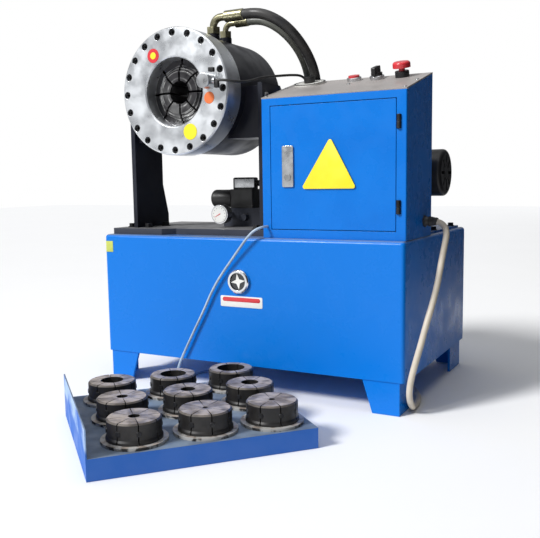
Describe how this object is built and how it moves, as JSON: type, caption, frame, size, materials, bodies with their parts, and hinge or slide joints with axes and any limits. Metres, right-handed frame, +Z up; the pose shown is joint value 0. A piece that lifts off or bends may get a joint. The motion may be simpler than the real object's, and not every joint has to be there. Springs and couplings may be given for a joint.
{
  "type": "hose crimping machine",
  "caption": "Bench hose crimper: oil tank on feet, ring-bolted head with wedge-closed radial jaws, control cabinet, motor, valves, hoses, and a tray of die sets.",
  "frame": {"origin": "centre of the machine and its die tray on the floor", "axes": "+X to the operator's right, +Y to the back, +Z up; the crimping axis is parallel to Y"},
  "size_m": [0.86, 1.0858, 0.9117],
  "materials": {
    "tank_blue": "gloss sheet-metal paint",
    "panel_grey": "satin",
    "head_black": "satin machine enamel",
    "machined_steel": "face-turned, smudged",
    "die_steel": "black oxide, worn bright",
    "dark_steel": "dark plate",
    "zinc_steel": "zinc plated",
    "fastener_black": "black oxide",
    "chrome": "polished",
    "window": "clear",
    "black_plastic": "moulded",
    "white_plastic": "printed scale",
    "red_plastic": "moulded",
    "motor_grey": "cast and painted",
    "hose_rubber": "smooth cover",
    "cable_grey": "sheath",
    "cord_blue": "thin sheath",
    "tray_grey": "dusty",
    "set_steel": "phosphated, oily",
    "switch_grey": "painted"
  },
  "bodies": {
    "machine": {"oil_tank": "tank_blue", "tank_cover": "tank_blue", "tank_legs": "tank_blue", "sight_glass_ring": "chrome", "sight_glass_lens": "window", "breather_cap": "black_plastic", "deck_bolts": "fastener_black", "head_foot_plate": "dark_steel", "cheek_left": "dark_steel", "cheek_right": "dark_steel", "front_ring": "machined_steel", "front_ring_bolts": "fastener_black", "head_body": "head_black", "rear_cap": "machined_steel", "position_probe": "machined_steel", "hose_fittings": "zinc_steel", "valve_block": "dark_steel", "solenoid_valve": "black_plastic", "valve_connector": "black_plastic", "pressure_gauge": "chrome", "motor_frame": "motor_grey", "fan_cowl": "black_plastic", "pump_unit": "motor_grey", "cabinet": "tank_blue", "control_panel": "panel_grey", "control_bezels": "chrome", "control_gear": "white_plastic", "cable_gland": "black_plastic", "close_hose": "hose_rubber", "open_hose": "hose_rubber", "probe_cord": "black_plastic", "valve_cord": "black_plastic", "mains_cable": "cable_grey", "pedal_cord": "cord_blue", "mains_coil": "cable_grey", "pedal_coil": "cord_blue", "mains_plug": "black_plastic", "foot_switch": "switch_grey", "die_tray": "tray_grey", "die_sets_left": "set_steel", "die_sets_middle": "set_steel", "die_sets_right": "set_steel"},
    "door": {"cabinet_door": "tank_blue"},
    "latch": {"door_latch": "chrome"},
    "ram": {"wedge_ring": "machined_steel", "piston": "machined_steel"},
    "jaw_1": {"jaw_1": "die_steel"},
    "jaw_2": {"jaw_2": "die_steel"},
    "jaw_3": {"jaw_3": "die_steel"},
    "jaw_4": {"jaw_4": "die_steel"},
    "jaw_5": {"jaw_5": "die_steel"},
    "jaw_6": {"jaw_6": "die_steel"},
    "jaw_7": {"jaw_7": "die_steel"},
    "jaw_8": {"jaw_8": "die_steel"},
    "dial": {"setting_dial": "white_plastic"},
    "button": {"push_button": "red_plastic"},
    "selector": {"selector_knob": "black_plastic"},
    "stop": {"stop_button": "red_plastic"},
    "rotor": {"motor_rotor": "machined_steel"},
    "pedal": {"foot_pedal": "switch_grey"}
  },
  "joints": [
    {"name": "door_hinge", "type": "hinge", "parent": "machine", "child": "door", "pos_m": [0.37325, 0.04393, 0.5345], "axis": [0, 0, 1], "range_deg": [0, 110]},
    {"name": "latch_turn", "type": "hinge", "parent": "door", "child": "latch", "pos_m": [0.121, 0.04393, 0.51258], "axis": [0, 1, 0], "range_deg": [0, 90]},
    {"name": "piston_stroke", "type": "slide", "parent": "machine", "child": "ram", "axis": [0, -1, 0], "range_m": [-0.044, 0.022]},
    {"name": "jaw_1_slide", "type": "slide", "parent": "machine", "child": "jaw_1", "axis": [-0.3827, 0, -0.9239], "range_m": [-0.0118, 0.0059]},
    {"name": "jaw_2_slide", "type": "slide", "parent": "machine", "child": "jaw_2", "axis": [-0.9239, 0, -0.3827], "range_m": [-0.0118, 0.0059]},
    {"name": "jaw_3_slide", "type": "slide", "parent": "machine", "child": "jaw_3", "axis": [-0.9239, 0, 0.3827], "range_m": [-0.0118, 0.0059]},
    {"name": "jaw_4_slide", "type": "slide", "parent": "machine", "child": "jaw_4", "axis": [-0.3827, 0, 0.9239], "range_m": [-0.0118, 0.0059]},
    {"name": "jaw_5_slide", "type": "slide", "parent": "machine", "child": "jaw_5", "axis": [0.3827, 0, 0.9239], "range_m": [-0.0118, 0.0059]},
    {"name": "jaw_6_slide", "type": "slide", "parent": "machine", "child": "jaw_6", "axis": [0.9239, 0, 0.3827], "range_m": [-0.0118, 0.0059]},
    {"name": "jaw_7_slide", "type": "slide", "parent": "machine", "child": "jaw_7", "axis": [0.9239, 0, -0.3827], "range_m": [-0.0118, 0.0059]},
    {"name": "jaw_8_slide", "type": "slide", "parent": "machine", "child": "jaw_8", "axis": [0.3827, 0, -0.9239], "range_m": [-0.0118, 0.0059]},
    {"name": "dial_turn", "type": "hinge", "parent": "machine", "child": "dial", "pos_m": [0.107, 0.19393, 0.73494], "axis": [0, -0.2692, 0.9631], "range_deg": [-135, 135]},
    {"name": "selector_turn", "type": "hinge", "parent": "machine", "child": "selector", "pos_m": [0.277, 0.19393, 0.73494], "axis": [0, -0.2692, 0.9631], "range_deg": [-45, 45]},
    {"name": "button_press", "type": "slide", "parent": "machine", "child": "button", "axis": [0, 0.2692, -0.9631], "range_m": [0, 0.004], "stiffness_N_per_m": 400},
    {"name": "stop_press", "type": "slide", "parent": "machine", "child": "stop", "axis": [0, 0.2692, -0.9631], "range_m": [0, 0.005], "stiffness_N_per_m": 600},
    {"name": "motor_spin", "type": "hinge", "parent": "machine", "child": "rotor", "pos_m": [0.3, 0.35793, 0.52], "axis": [1, 0, 0], "continuous": true},
    {"name": "pedal_hinge", "type": "hinge", "parent": "machine", "child": "pedal", "pos_m": [0.01, 0.35293, 0.024], "axis": [0, 1, 0], "range_deg": [0, 8], "stiffness_Nm_per_rad": 4, "springref_deg": -17.19}
  ],
  "couplings": [
    {"joint": "jaw_1_slide", "follows": "piston_stroke", "ratio": 0.26795},
    {"joint": "jaw_2_slide", "follows": "piston_stroke", "ratio": 0.26795},
    {"joint": "jaw_3_slide", "follows": "piston_stroke", "ratio": 0.26795},
    {"joint": "jaw_4_slide", "follows": "piston_stroke", "ratio": 0.26795},
    {"joint": "jaw_5_slide", "follows": "piston_stroke", "ratio": 0.26795},
    {"joint": "jaw_6_slide", "follows": "piston_stroke", "ratio": 0.26795},
    {"joint": "jaw_7_slide", "follows": "piston_stroke", "ratio": 0.26795},
    {"joint": "jaw_8_slide", "follows": "piston_stroke", "ratio": 0.26795}
  ]
}
